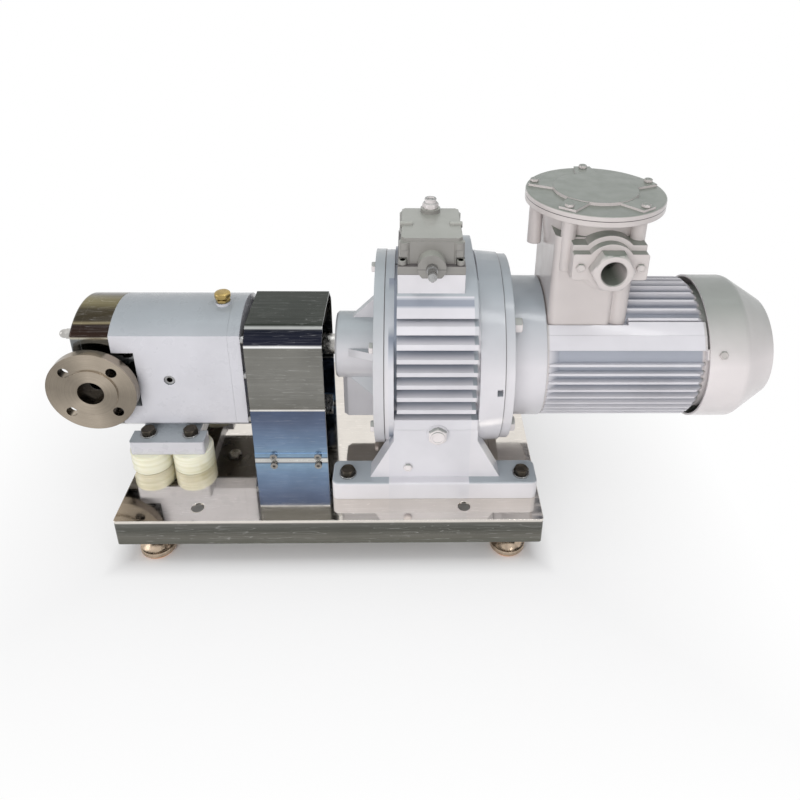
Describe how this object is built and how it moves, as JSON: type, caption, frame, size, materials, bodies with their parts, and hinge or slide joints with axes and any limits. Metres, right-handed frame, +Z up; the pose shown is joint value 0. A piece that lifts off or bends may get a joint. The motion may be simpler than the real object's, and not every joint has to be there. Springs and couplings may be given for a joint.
{
  "type": "rotary lobe pump set",
  "caption": "Rotary lobe pump on a levelled tray, coupled under a folded guard to a ribbed disc variator and a finned motor with a round terminal box.",
  "frame": {"origin": "floor level under the middle of the whole set's box", "axes": "+Z up, +X from the pump head to the motor along the drive axis, -Y towards the inlet flange"},
  "size_m": [0.94, 0.349, 0.4557],
  "materials": {
    "polished_steel": "polished",
    "pump_steel": "satin",
    "grey_paint": "satin",
    "light_paint": "satin",
    "nylon": "satin",
    "dark_bolt": "oiled",
    "zinc": "satin",
    "brass": "polished",
    "rubber": "matte",
    "brown_pad": "matte",
    "iron": "machined",
    "copper_winding": "lacquered",
    "fan_plastic": "matte",
    "seal_faces": "matte"
  },
  "bodies": {
    "frame": {"base_tray": "polished_steel", "bearing_frame": "grey_paint", "brass_breather": "brass", "control_box": "light_paint", "coupling_guard": "polished_steel", "fan_cowl": "light_paint", "fixed_race_ring": "iron", "foot_bolt_sets": "dark_bolt", "foot_plate": "grey_paint", "frame_end_cover": "grey_paint", "frame_plugs": "dark_bolt", "front_cover": "pump_steel", "front_cover_studs": "pump_steel", "gland_flange": "light_paint", "gland_nut": "light_paint", "guard_fixings": "polished_steel", "levelling_feet": "zinc", "levelling_pads": "brown_pad", "motor_cover_screws": "light_paint", "motor_drive_shield": "light_paint", "motor_frame": "light_paint", "motor_rear_shield": "light_paint", "nylon_spacers": "nylon", "process_flanges": "pump_steel", "pump_case": "pump_steel", "rubber_seals": "rubber", "sealed_bearings": "zinc", "shaft_seals": "seal_faces", "socket_screws": "dark_bolt", "stator_core": "iron", "stator_windings": "copper_winding", "terminal_box": "light_paint", "terminal_box_lid": "light_paint", "variator_front_cover": "light_paint", "variator_housing": "light_paint", "variator_plugs": "light_paint", "variator_rim_bolts": "light_paint"},
    "output_train": {"carrier_shaft": "iron", "variator_coupling_hub": "iron", "coupling_spider": "rubber", "pump_coupling_hub": "iron", "pump_drive_shaft": "pump_steel", "drive_rotor": "pump_steel", "drive_rotor_nut": "pump_steel", "drive_timing_gear": "iron"},
    "driven_train": {"pump_driven_shaft": "pump_steel", "driven_rotor": "pump_steel", "driven_rotor_nut": "pump_steel", "driven_timing_gear": "iron"},
    "motor_rotor": {"motor_shaft": "iron", "rotor_core": "iron", "cooling_fan": "fan_plastic", "sun_discs": "iron"},
    "planet_body_1": {"planet_disc_1": "iron"},
    "planet_body_2": {"planet_disc_2": "iron"},
    "planet_body_3": {"planet_disc_3": "iron"},
    "planet_body_4": {"planet_disc_4": "iron"},
    "adjusting_ring_body": {"adjusting_ring": "iron"},
    "speed_spindle_body": {"speed_spindle": "zinc"},
    "speed_nut_body": {"speed_nut": "iron"}
  },
  "joints": [
    {"name": "output_turn", "type": "hinge", "parent": "frame", "child": "output_train", "pos_m": [0, 0, 0.222], "axis": [1, 0, 0], "continuous": true},
    {"name": "driven_turn", "type": "hinge", "parent": "frame", "child": "driven_train", "pos_m": [0, 0, 0.17], "axis": [1, 0, 0], "continuous": true},
    {"name": "motor_turn", "type": "hinge", "parent": "frame", "child": "motor_rotor", "pos_m": [0, 0, 0.222], "axis": [1, 0, 0], "continuous": true},
    {"name": "planet_turn_1", "type": "hinge", "parent": "output_train", "child": "planet_body_1", "pos_m": [0, 0, 0.274], "axis": [1, 0, 0], "continuous": true},
    {"name": "planet_turn_2", "type": "hinge", "parent": "output_train", "child": "planet_body_2", "pos_m": [0, -0.052, 0.222], "axis": [1, 0, 0], "continuous": true},
    {"name": "planet_turn_3", "type": "hinge", "parent": "output_train", "child": "planet_body_3", "pos_m": [0, 0, 0.17], "axis": [1, 0, 0], "continuous": true},
    {"name": "planet_turn_4", "type": "hinge", "parent": "output_train", "child": "planet_body_4", "pos_m": [0, 0.052, 0.222], "axis": [1, 0, 0], "continuous": true},
    {"name": "adjusting_ring_turn", "type": "hinge", "parent": "frame", "child": "adjusting_ring_body", "pos_m": [0, 0, 0.222], "axis": [1, 0, 0], "range_deg": [-4.47, 4.47]},
    {"name": "speed_nut_slide", "type": "slide", "parent": "frame", "child": "speed_nut_body", "axis": [0, 1, 0], "range_m": [-0.01205, 0.01205]},
    {"name": "speed_spindle_turn", "type": "hinge", "parent": "frame", "child": "speed_spindle_body", "pos_m": [0.0218, 0, 0.385], "axis": [0, 1, 0], "range_deg": [-905, 905]}
  ],
  "couplings": [
    {"joint": "output_turn", "follows": "motor_turn", "ratio": 0.23558},
    {"joint": "driven_turn", "follows": "motor_turn", "ratio": -0.23558},
    {"joint": "planet_turn_1", "follows": "motor_turn", "ratio": -0.68103},
    {"joint": "planet_turn_2", "follows": "motor_turn", "ratio": -0.68103},
    {"joint": "planet_turn_3", "follows": "motor_turn", "ratio": -0.68103},
    {"joint": "planet_turn_4", "follows": "motor_turn", "ratio": -0.68103},
    {"joint": "speed_nut_slide", "follows": "adjusting_ring_turn", "m_per_rad": -0.15398},
    {"joint": "speed_spindle_turn", "follows": "adjusting_ring_turn", "ratio": 193.5}
  ]
}
